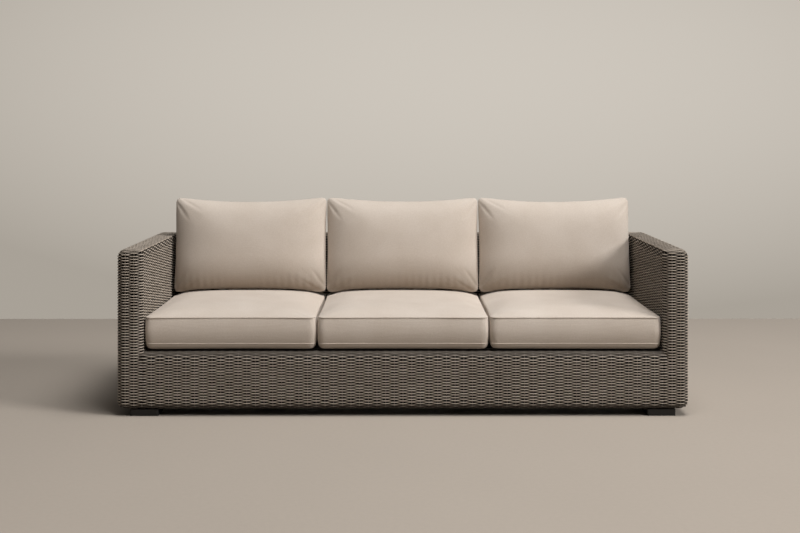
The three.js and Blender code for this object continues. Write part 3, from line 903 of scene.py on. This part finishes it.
def pressed_out(made, look, swell, held):
    """Remeshes a cushion, presses it out as cloth for twenty frames and caps each point's move.

    held tells which of the remeshed cushion's points are kept in place.
    """
    bpy.context.view_layer.objects.active = made
    remesh = made.modifiers.new("Even faces", "REMESH")
    remesh.mode = "VOXEL"
    remesh.voxel_size = look.voxel
    remesh.use_smooth_shade = True
    bpy.ops.object.modifier_apply(modifier=remesh.name)
    start = vertex_array(made.data)
    group = made.vertex_groups.new(name="held")
    group.add(np.nonzero(held(start))[0].tolist(), 1.0, "REPLACE")
    cloth = made.modifiers.new("Cloth", "CLOTH")
    cloth.settings.use_pressure = True
    cloth.settings.uniform_pressure_force = look.pressure
    cloth.settings.effector_weights.gravity = 0
    cloth.settings.vertex_group_mass = group.name
    last_frame = 20
    cloth.point_cache.frame_start = 1
    cloth.point_cache.frame_end = last_frame
    scene = bpy.context.scene
    for frame_number in range(1, last_frame + 1):
        scene.frame_set(frame_number)
    bpy.ops.object.modifier_apply(modifier=cloth.name)
    scene.frame_set(1)
    move = vertex_array(made.data) - start
    made.vertex_groups.clear()
    length = np.linalg.norm(move, axis=1)
    return start + move * (swell * np.tanh(length / swell) / np.maximum(length, 1e-9))[:, None]


def fitted(points, low, high):
    """Points stretched or squeezed along each axis so that they fill the box from low to high.

    They are first let past its sides by PRESSED, and what lies outside is pushed back, as by a neighbour.
    """
    start, end = points.min(axis=0), points.max(axis=0)
    filled = low - PRESSED + (points - start) * ((high - low + 2 * PRESSED) / (end - start))
    return np.clip(filled, low, high)


def settled(points, seed, depth):
    """Slow waves in the three directions, different for each cushion, so that no two are alike."""
    draw = np.random.default_rng(seed)
    moved = points.copy()
    for axis in range(3):
        pace = draw.uniform(5, 9, 3)
        start = draw.uniform(0, 2 * math.pi, 3)
        waves = np.sin(points * pace + start)
        moved[:, axis] += depth * (waves.sum(axis=1) - waves[:, axis]) / 2
    return moved


def finish_cushion(body, shell, points, shade, material):
    """A copy of a pressed-out shell with its points put in place, subdivided once and declared."""
    made = placed(body, shell.data.copy())
    made.data.vertices.foreach_set("co", points.astype(np.float32).ravel())
    made.data.update()
    # Stores each point's painted shade for the cloth material
    point_values(made.data, "shade", shade)
    smooth = made.modifiers.new("Finer faces", "SUBSURF")
    smooth.levels = 1
    smooth.render_levels = 1
    return add_cloth(made, body, material)


def on_edge(line, edge, sink, widest):
    """A closed plane line moved onto the nearest of the edge's points, smoothed and sunk inwards a little.

    widest is how far it may reach to the sides, where the next cushion lies.
    """
    distance = np.linalg.norm(line[:, None] - edge[None], axis=2)
    nearest = edge[distance.argmin(axis=1)]
    gap = np.einsum("pk,pk->p", nearest - line, unit(line))
    width = 9
    wrap = width - 1
    around = np.concatenate([gap[-wrap:], gap, gap[:wrap]])
    smooth = np.convolve(around, np.ones(width) / width, "same")[wrap:-wrap]
    moved = line + unit(line) * (smooth - sink)[:, None]
    return np.column_stack([np.clip(moved[:, 0], -widest, widest), moved[:, 1]])


def seam_cord(name, body, loop, outward, radius, material):
    """A thin welt along a closed loop of points."""
    rings = tube_rings(loop[None], outward[None], radius, CORD_SIDES, closed=True)
    quads, caps = tube_faces(1, len(loop), CORD_SIDES, True)
    add_cloth(mesh_of(name, rings.reshape(-1, 3), quads, caps), body, material)


def make_cushions(look, kind, form_of, swell, make):
    """The three cushions of one kind, all copied from one pressed-out shell."""
    material = cushion_cloth(look)
    form = form_of(f"centre_{kind}_cushion_cover")
    shell = ringed_mesh(f"{kind}_cushion_shell", form.rings(SHELL_INSET, RING_POINTS))
    pressed = pressed_out(shell, look, swell, form.held)
    for order, place in enumerate(PLACES):
        make(f"{place}_{kind}_cushion", order, look, material, shell, pressed)
    bpy.data.objects.remove(shell)


def make_seat_cushion(body, order, look, material, shell, pressed):
    """One seat cushion: boxed sides, crowned top, welts along its top and bottom seams."""
    form = SeatForm(f"{body}_cover")
    points = settled(pressed, order, depth=0.0012)
    side_slack = 0.0004
    low = np.array([side_slack - form.half_x, -form.half_y, 0])
    high = np.array([form.half_x - side_slack, form.half_y, points[:, 2].max()])
    points = fitted(points, low, high)
    above = np.maximum(points[:, 2] - form.boxing, 0)
    points[:, 2] += above * (form.crown / above.max() - 1)
    # Painted shade: the cloth is painted darker towards the bottom of the boxing
    deepest, shade_height = 0.35, 0.08
    shade = deepest * (1 - eased(points[:, 2], 0, shade_height))
    middle = np.array(form.middle)
    made = finish_cushion(body, shell, points + middle, shade, material)
    side_share, seam_reach, sink = 0.93, 0.006, 0.0004
    side = (np.abs(points[:, :2]) / np.array([form.half_x, form.half_y])).max(axis=1) > side_share
    radius = look.welt_diameter / 2
    for label, height in (("top", form.boxing), ("bottom", form.welt)):
        near = side & (np.abs(points[:, 2] - height) < seam_reach)
        outline = form.outline(CORD_INSET, CORD_POINTS)[0]
        line = on_edge(outline, points[near, :2], sink, form.half_x - radius + CORD_PROUD)
        loop = np.column_stack([line, np.full(len(line), height)]) + middle
        outward = unit(np.column_stack([line, np.zeros(len(line))]))
        seam_cord(f"{body}_{label}_welt", body, loop, outward, radius, material)


def make_back_cushion(body, order, look, material, shell, pressed):
    """One back cushion: a pillow with a knife edge, drawn in between its corners."""
    form = BackForm(f"{body}_cover")
    seed = len(PLACES) + order
    points = gathered(settled(pressed, seed, depth=0.0015), form, seed)
    end_slack, back_gap = 0.0025, 0.0025
    corner = np.array([form.half_x, 0, form.half_z - end_slack])
    depth = np.array([0, points[:, 1].max(), 0])
    front = np.array([0, max(points[:, 1].min(), -form.front_dome), 0])
    points = fitted(points, front - corner, depth + corner)
    up = (points[:, 2] / form.half_z + 1) / 2
    # Painted shade: the front dome is painted darker towards its low edge, where the cushion sits on the
    # seat, fading out over the knife edge
    deepest, shade_share, shade_power = 0.75, 0.38, 1.2
    shade_depth, seam_shade = 0.02, 0.3
    facing_front = np.clip(seam_shade - points[:, 1] / shade_depth, 0, 1)
    shade = deepest * (1 - eased(up, 0, shade_share)) ** shade_power * facing_front
    standing = form.leaned(points)
    standing[:, 1] = np.minimum(standing[:, 1], BACK_LOW.y - back_gap)
    standing[:, 2] = np.maximum(standing[:, 2], seat_top(standing))
    made = finish_cushion(body, shell, standing, shade, material)
    seam_reach, sink = 0.007, 0.001
    near = np.abs(points[:, 1]) < seam_reach
    radius = look.seam_diameter / 2
    outline = form.seam(CORD_INSET, CORD_POINTS)[0]
    line = on_edge(outline, points[near][:, [0, 2]], sink, form.half_x - radius + CORD_PROUD)
    loop = form.leaned(np.column_stack([line[:, 0], np.zeros(len(line)), line[:, 1]]))
    outward = unit(loop - loop.mean(axis=0))
    seam_cord(f"{body}_seam", body, loop, outward, radius, material)


def gathered(points, form, seed):
    """Soft upright folds over a back cushion's low front edge, and short ones that run out of its corners.

    Along the edge the folds are sines of two paces, patchy in strength. They die away upwards and towards
    the side edges. About each corner the folds fan out with the angle.
    """
    draw = np.random.default_rng(seed)
    fold_pitch, fold_depth, front_depth = 0.031, 0.0011, 0.03
    sway_size, sway_pace = 0.9, 9
    patch_size, patch_pace = 0.4, 13
    fold_start, fold_fade = 0.06, 0.11
    edge_share, side_share = 0.05, 0.12
    fan_reach, fan_width = 0.075, 0.045
    fan_depth, fan_pace = 0.0002, 9
    side, height = points[:, 0], points[:, 2]
    across, up = side / form.half_x, (height / form.half_z + 1) / 2
    front = eased(-points[:, 1], 0, front_depth)
    start = draw.uniform(0, 2 * math.pi, 3)
    pace = 2 * math.pi / fold_pitch
    sway = sway_size * np.sin(side * sway_pace + start[0])
    folds = np.sin(side * pace + start[1] + sway) + 0.4 * np.sin(side * pace * 0.37 + start[2])
    patchy = 1 - patch_size + patch_size * np.sin(side * patch_pace + start[2])
    fading = np.exp(-((np.clip(up - fold_start, 0, 1) / fold_fade) ** 2)) * eased(up, 0, edge_share)
    depth = fold_depth * folds * patchy * fading * front * eased(1 - np.abs(across), 0, side_share)
    for corner_x in (-form.half_x, form.half_x):
        for corner_z in (-form.half_z, form.half_z):
            reach = np.hypot(side - corner_x, height - corner_z)
            angle = np.arctan2(np.abs(height - corner_z), np.abs(side - corner_x))
            fan = np.sin(angle * fan_pace + draw.uniform(0, 2 * math.pi))
            near = np.exp(-(((reach - fan_reach) / fan_width) ** 2))
            depth = depth + fan_depth * fan * near * front
    moved = points.copy()
    moved[:, 1] -= depth
    return moved


def seat_top(points):
    """Height of the seat cushions' tops under each point, where a back cushion rests on them."""
    top = np.full(len(points), -1.0)
    for place in PLACES:
        form = SeatForm(f"{place}_seat_cushion_cover")
        across = (points[:, 0] - form.middle.x) / (form.half_x - form.seam_in)
        along = (points[:, 1] - form.middle.y) / (form.half_y - form.seam_in)
        inside = (np.abs(across) < 1) & (np.abs(along) < 1)
        rise = np.zeros(len(points))
        rise[inside] = rise_of(
            np.abs(across[inside]), np.abs(along[inside]), 1.0, form.fall, form.fullness
        )
        clearance = 0.001
        height = form.middle.z + form.boxing + form.crown * rise + clearance
        top[inside] = height[inside]
    return top


# Materials


def fed(tree, node, inputs):
    """Gives each input of a node that is named a value, or a link from a socket."""
    for name, value in inputs.items():
        if isinstance(value, bpy.types.NodeSocket):
            tree.links.new(value, node.inputs[name])
        else:
            node.inputs[name].default_value = value


def added(tree, kind, inputs=None, **settings):
    """A new node with its settings and with what its named inputs are fed."""
    node = tree.nodes.new(kind)
    for name, value in settings.items():
        setattr(node, name, value)
    fed(tree, node, inputs or {})
    return node


def new_group(name, inputs, outputs):
    """An empty shader node group with named number sockets, and its two end nodes."""
    group = bpy.data.node_groups.new(name, "ShaderNodeTree")
    for labels, way in ((inputs, "INPUT"), (outputs, "OUTPUT")):
        for label in labels:
            group.interface.new_socket(label, in_out=way, socket_type="NodeSocketFloat")
    return group, group.nodes.new("NodeGroupInput"), group.nodes.new("NodeGroupOutput")


def computed(tree, operation, *values):
    """The result of a Math node on numbers or sockets."""
    return added(tree, "ShaderNodeMath", dict(enumerate(values)), operation=operation).outputs["Value"]


def measured(tree, operation, first, second, output):
    """The named result of a Vector Math node on vectors or sockets."""
    return added(tree, "ShaderNodeVectorMath", {0: first, 1: second}, operation=operation).outputs[output]


def mixed(tree, factor, dark, light):
    """A colour mix of two constant colours or sockets by a factor socket."""
    ends = {
        label: end if isinstance(end, bpy.types.NodeSocket) else (*end, 1)
        for label, end in (("A", dark), ("B", light))
    }
    return added(tree, "ShaderNodeMix", {"Factor": factor, **ends}, data_type="RGBA").outputs["Result"]


def mixed_shader(tree, factor, first, second):
    """A mix of two shaders by a factor socket."""
    return added(tree, "ShaderNodeMixShader", {"Fac": factor, 1: first, 2: second}).outputs["Shader"]


def ranged(tree, value, low, high, new_low, new_high):
    """A value moved from one range to another and clamped."""
    ends = {"From Min": low, "From Max": high, "To Min": new_low, "To Max": new_high}
    return added(tree, "ShaderNodeMapRange", {"Value": value, **ends}).outputs["Result"]


def stored(tree, name):
    """The number stored per point under a name."""
    return added(tree, "ShaderNodeAttribute", attribute_name=name).outputs["Fac"]


def grain_group():
    """Fine mottling: a mask that wanders over the surface and a small height for bumps."""
    if "Fine Grain" in bpy.data.node_groups:
        return bpy.data.node_groups["Fine Grain"]
    group, given, out = new_group("Fine Grain", ("Scale", "Broad Scale"), ("Mask", "Height"))
    place = added(group, "ShaderNodeTexCoord").outputs["Object"]
    fine, broad = (
        added(
            group, "ShaderNodeTexNoise", {"Vector": place, "Scale": given.outputs[scale], "Detail": detail}
        ).outputs["Fac"]
        for scale, detail in (("Scale", 3), ("Broad Scale", 2))
    )
    mean = added(group, "ShaderNodeMix", {"Factor": 0.45, "A": fine, "B": broad})
    fed(group, out, {"Mask": mean.outputs["Result"], "Height": fine})
    return group


def yarn_group():
    """Plain cloth weave on Object coordinates: crossing waves in the three directions."""
    if "Yarn Weave" in bpy.data.node_groups:
        return bpy.data.node_groups["Yarn Weave"]
    group, given, out = new_group("Yarn Weave", ("Yarns per Metre",), ("Height",))
    place = added(group, "ShaderNodeTexCoord").outputs["Object"]
    parts = added(group, "ShaderNodeSeparateXYZ", {"Vector": place}).outputs
    pace = computed(group, "MULTIPLY", given.outputs["Yarns per Metre"], 2 * math.pi)
    x, y, z = (computed(group, "SINE", computed(group, "MULTIPLY", parts[axis], pace)) for axis in "XYZ")
    fed(group, out, {"Height": computed(group, "ADD", computed(group, "ADD", x, y), z)})
    return group


def new_material(name, roughness, metallic=0.0, specular=0.5):
    """A material with a lone Principled node, its node tree and that node."""
    material = bpy.data.materials.new(name)
    material.use_nodes = True
    shader = material.node_tree.nodes["Principled BSDF"]
    plain = {"Roughness": roughness, "Metallic": metallic, "Specular IOR Level": specular}
    fed(material.node_tree, shader, plain)
    return material, material.node_tree, shader


def grained(tree, scale, broad_scale):
    """The fine grain in a material: its height, and a function that spreads its mask over a range."""
    scales = {"Scale": scale, "Broad Scale": broad_scale}
    grain = added(tree, "ShaderNodeGroup", scales, node_tree=grain_group()).outputs

    def mask(low, high):
        return ranged(tree, grain["Mask"], 0.3, 0.7, low, high)

    return grain["Height"], mask


def bumped(tree, height, distance, strength):
    """The normal that a bump from a height socket gives."""
    given = {"Height": height, "Distance": distance, "Strength": strength}
    return added(tree, "ShaderNodeBump", given).outputs["Normal"]


def dimmed(colour, share):
    """A colour with its light cut to a share."""
    return tuple(part * share for part in colour)


def strand_material(look):
    """Round resin strands: two tones strand by strand, streaked, with painted shade where they pass behind,
    over the tops and on the undersides.
    """
    material, tree, shader = new_material("Woven strand", 0.6, specular=0.15)
    height, mask = grained(tree, scale=420, broad_scale=9)
    blend = computed(tree, "MULTIPLY_ADD", stored(tree, "tone"), 0.5, mask(0, 0.5))
    base = mixed(tree, blend, look.strand_dark_colour, look.strand_colour)
    # Painted shade: the base colour is mixed towards the near-black shade colour as the stored painted shade
    # rises
    darkening_start, darkest = 0.26, 0.5
    deep = ranged(tree, stored(tree, "painted_shade"), darkening_start, darkest, 0, 1)
    fed(tree, shader, {
        "Base Color": mixed(tree, deep, base, look.painted_shade_colour),
        "Roughness": mask(0.48, 0.66),
        "Normal": bumped(tree, height, distance=0.0004, strength=0.35),
    })
    return material


def cloth_material(look):
    """Outdoor cushion cloth: a fine plain weave with faint slubs and a soft sheen, painted darker low down
    where cushions meet, as the stored shade says.
    """
    material, tree, shader = new_material("Cushion cloth", 0.92, specular=0.2)
    height, mask = grained(tree, scale=240, broad_scale=7)
    yarn = added(tree, "ShaderNodeGroup", {"Yarns per Metre": 700}, node_tree=yarn_group())
    yarn_share = 0.25
    relief = computed(tree, "MULTIPLY_ADD", yarn.outputs["Height"], yarn_share, height)
    base = mixed(tree, mask(0, 1), look.cloth_shade_colour, look.cloth_colour)
    fed(tree, shader, {
        "Base Color": mixed(tree, stored(tree, "shade"), base, look.cloth_painted_shade_colour),
        "Roughness": mask(0.86, 0.96),
        "Normal": bumped(tree, relief, distance=0.0003, strength=0.5),
        "Sheen Weight": 0.12,
        "Sheen Roughness": 0.5,
    })
    return material


def coated_material(name, colour, roughness, scale, metallic):
    """Powder coat, moulded plastic, plating, foam or fibre: a grain in tone, gloss and surface."""
    material, tree, shader = new_material(name, roughness, metallic)
    height, mask = grained(tree, scale, broad_scale=6)
    darkest, unevenness = 0.78, 0.08
    fed(tree, shader, {
        "Base Color": mixed(tree, mask(0, 1), dimmed(colour, darkest), colour),
        "Roughness": mask(roughness - unevenness, roughness + unevenness),
        "Normal": bumped(tree, height, distance=0.0003, strength=0.4),
    })
    return material


def cushion_cloth(look):
    """The cushions' one cloth, made by the first kind that asks for it."""
    return bpy.data.materials.get("Cushion cloth") or cloth_material(look)


def dress(nodes, material):
    """Gives carried-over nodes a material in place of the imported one."""
    for node in nodes:
        made = frame["nodes"][node]
        made.data.materials.clear()
        made.data.materials.append(material)


# Operators


class SOFA_OT_weave(bpy.types.Operator):
    """Weaves the arms, the apron and the back from round strands over upright stakes"""

    bl_idname = "sofa.weave"
    bl_label = "Weave Skins"

    def execute(self, context):
        look = context.scene.sofa_weave
        skin = Skin(look)
        material = strand_material(look)
        weave_arm("left", skin, look, material)
        weave_arm("right", skin, look, material)
        weave_apron(skin, look, material)
        weave_back(skin, look, material)
        return {"FINISHED"}


class SOFA_OT_seat_cushions(bpy.types.Operator):
    """Makes the three boxed seat cushions and their welts"""

    bl_idname = "sofa.seat_cushions"
    bl_label = "Seat Cushions"

    def execute(self, context):
        look = context.scene.sofa_cushions
        make_cushions(look, "seat", SeatForm, look.seat_swell, make_seat_cushion)
        return {"FINISHED"}


class SOFA_OT_back_cushions(bpy.types.Operator):
    """Makes the three knife-edged back cushions"""

    bl_idname = "sofa.back_cushions"
    bl_label = "Back Cushions"

    def execute(self, context):
        look = context.scene.sofa_cushions
        make_cushions(look, "back", BackForm, look.back_swell, make_back_cushion)
        return {"FINISHED"}


class SOFA_OT_frame_finishes(bpy.types.Operator):
    """Finishes the tubes, slats, feet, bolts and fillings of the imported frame"""

    bl_idname = "sofa.frame_finishes"
    bl_label = "Frame Finishes"

    def execute(self, context):
        look = context.scene.sofa_frame
        slots = {}
        for part in frame["record"]["subparts"]:
            slots.setdefault(part["material_slot"], []).append(part["node"])
        finishes = (
            ("coated_tube", "Coated tube", look.tube_colour, 0.5, 900, 0.0),
            ("coated_slat", "Coated slat", look.slat_colour, 0.52, 900, 0.0),
            ("foot_plastic", "Foot plastic", look.foot_colour, 0.55, 700, 0.0),
            ("zinc_bolt", "Zinc plate", look.bolt_colour, 0.35, 1100, 0.9),
            ("seat_foam", "Seat foam", look.foam_colour, 0.95, 300, 0.0),
            ("fibre_filling", "Fibre filling", look.filling_colour, 0.95, 160, 0.0),
        )
        for slot_name, name, colour, roughness, scale, metallic in finishes:
            dress(slots[slot_name], coated_material(name, colour, roughness, scale, metallic))
        return {"FINISHED"}


class SOFA_OT_stage(bpy.types.Operator):
    """Sets the floor, the wall, the lamps and the camera"""

    bl_idname = "sofa.stage"
    bl_label = "Studio"

    def execute(self, context):
        look = context.scene.sofa_stage
        make_backdrop(look)
        make_lamps(look)
        make_camera(look)
        context.scene.view_settings.view_transform = "Standard"
        return {"FINISHED"}


def sheet_object(name, corners, material):
    """A flat stage piece of one face."""
    mesh = bpy.data.meshes.new(name)
    mesh.from_pydata(corners, [], [(0, 1, 2, 3)])
    made = placed(name, mesh)
    made.data.materials.append(material)
    return made


def make_backdrop(look):
    """A wide floor, and a wall that only shows from its front and neither shades nor lights; to the camera
    the wall glows with a painted pool of light.
    """
    ground, tree, shader = new_material("Floor", 0.9, specular=0.2)
    _, mask = grained(tree, scale=60, broad_scale=1.2)
    darkest = dimmed(look.floor_colour, 0.95)
    fed(tree, shader, {"Base Color": mixed(tree, mask(0, 1), darkest, look.floor_colour)})
    size = 30.0
    sheet_object("floor", [(-size, -size, 0), (size, -size, 0), (size, size, 0), (-size, size, 0)], ground)

    paint, tree, shader = new_material("Wall", 1.0, specular=0.0)
    # Painted light: the wall's tone falls off from its brightest place, and camera rays see it as emission,
    # a glow that no lamp gives
    tone = mixed(tree, wall_shading(tree), look.wall_colour, look.wall_shade_colour)
    fed(tree, shader, {"Base Color": tone})
    glow = added(tree, "ShaderNodeEmission", {"Color": tone}).outputs["Emission"]
    camera_ray = added(tree, "ShaderNodeLightPath").outputs["Is Camera Ray"]
    seen = mixed_shader(tree, camera_ray, shader.outputs["BSDF"], glow)
    from_behind = added(tree, "ShaderNodeNewGeometry").outputs["Backfacing"]
    clear = added(tree, "ShaderNodeBsdfTransparent").outputs["BSDF"]
    shown = mixed_shader(tree, from_behind, seen, clear)
    fed(tree, tree.nodes["Material Output"], {"Surface": shown})
    back = look.wall_distance
    wall = sheet_object(
        "wall", [(-size, back, 0), (size, back, 0), (size, back, size / 2), (-size, back, size / 2)], paint
    )
    wall.visible_shadow = False
    wall.visible_diffuse = False
    wall.visible_glossy = False


def wall_shading(tree):
    """How far the wall's painted light has fallen off: the square of the distance from its brightest place,
    in ellipses.
    """
    brightest, reach = (0.6, 0, 1.5), (1 / 4.2, 0, 1 / 1.5)
    place = added(tree, "ShaderNodeTexCoord").outputs["Object"]
    away = measured(tree, "SUBTRACT", place, brightest, "Vector")
    shares = measured(tree, "MULTIPLY", away, reach, "Vector")
    return ranged(tree, measured(tree, "DOT_PRODUCT", shares, shares, "Value"), 0, 1, 0, 1)


def add_lamp(name, place, aim, size, power, colour):
    """A square soft lamp that looks at a point."""
    lamp = bpy.data.lights.new(name, "AREA")
    lamp.size = size
    lamp.energy = power
    lamp.color = colour
    made = placed(name, lamp)
    made.location = place
    made.rotation_euler = (Vector(aim) - Vector(place)).to_track_quat("-Z", "Y").to_euler()
    made.visible_camera = False


def make_lamps(look):
    """A far key lamp at the upper right, a soft lamp high over the front, and a faint even world."""
    warm = (1.0, 0.985, 0.97)
    seat_middle = (0, 0, 0.4)
    key_place, overhead_place = (12.6, -6.0, 8.2), (1.6, -1.8, 7.5)
    add_lamp("key", key_place, seat_middle, size=4.2, power=look.key_power, colour=warm)
    add_lamp("overhead", overhead_place, seat_middle, size=4.0, power=look.top_power, colour=warm)
    world = bpy.data.worlds.new("Studio")
    world.use_nodes = True
    tree = world.node_tree
    light = tree.nodes["Background"]
    fed(tree, light, {"Color": (*linear(250, 246, 240), 1), "Strength": look.world_strength})
    distance = added(tree, "ShaderNodeBackground", {"Color": (*look.wall_shade_colour, 1)})
    camera_ray = added(tree, "ShaderNodeLightPath").outputs["Is Camera Ray"]
    shown = mixed_shader(tree, camera_ray, light.outputs["Background"], distance.outputs["Background"])
    fed(tree, tree.nodes["World Output"], {"Surface": shown})
    bpy.context.scene.world = world


def make_camera(look):
    """The camera at the photograph's place, with the lens shift that its framing needs."""
    camera = bpy.data.cameras.new("camera")
    camera.lens = look.lens
    camera.shift_y = look.camera_shift
    made = placed("camera", camera)
    made.location = look.camera_place
    made.rotation_euler = (QUARTER, 0, -look.camera_turn)
    bpy.context.scene.camera = made


class SOFA_PT_panel(bpy.types.Panel):
    """Lists the steps that build the sofa's look"""

    bl_idname = "SOFA_PT_panel"
    bl_label = "Woven Garden Sofa"
    bl_space_type = "VIEW_3D"
    bl_region_type = "UI"
    bl_category = "Sofa"

    def draw(self, context):
        for operator in OPERATORS:
            self.layout.operator(operator.bl_idname)


OPERATORS = (
    SOFA_OT_stage, SOFA_OT_weave, SOFA_OT_seat_cushions, SOFA_OT_back_cushions, SOFA_OT_frame_finishes,
)
SETTINGS = {
    "sofa_weave": SofaWeaveSettings,
    "sofa_cushions": SofaCushionSettings,
    "sofa_frame": SofaFrameSettings,
    "sofa_stage": SofaStageSettings,
}


def register():
    for settings in SETTINGS.values():
        bpy.utils.register_class(settings)
    for name, settings in SETTINGS.items():
        setattr(bpy.types.Scene, name, bpy.props.PointerProperty(type=settings))
    for shown in (*OPERATORS, SOFA_PT_panel):
        bpy.utils.register_class(shown)


def unregister():
    for shown in (SOFA_PT_panel, *reversed(OPERATORS)):
        bpy.utils.unregister_class(shown)
    for name, settings in SETTINGS.items():
        delattr(bpy.types.Scene, name)
        bpy.utils.unregister_class(settings)


def main():
    register()
    bpy.ops.sofa.stage()
    bpy.ops.sofa.weave()
    bpy.ops.sofa.seat_cushions()
    bpy.ops.sofa.back_cushions()
    bpy.ops.sofa.frame_finishes()


if __name__ == "__main__":
    main()
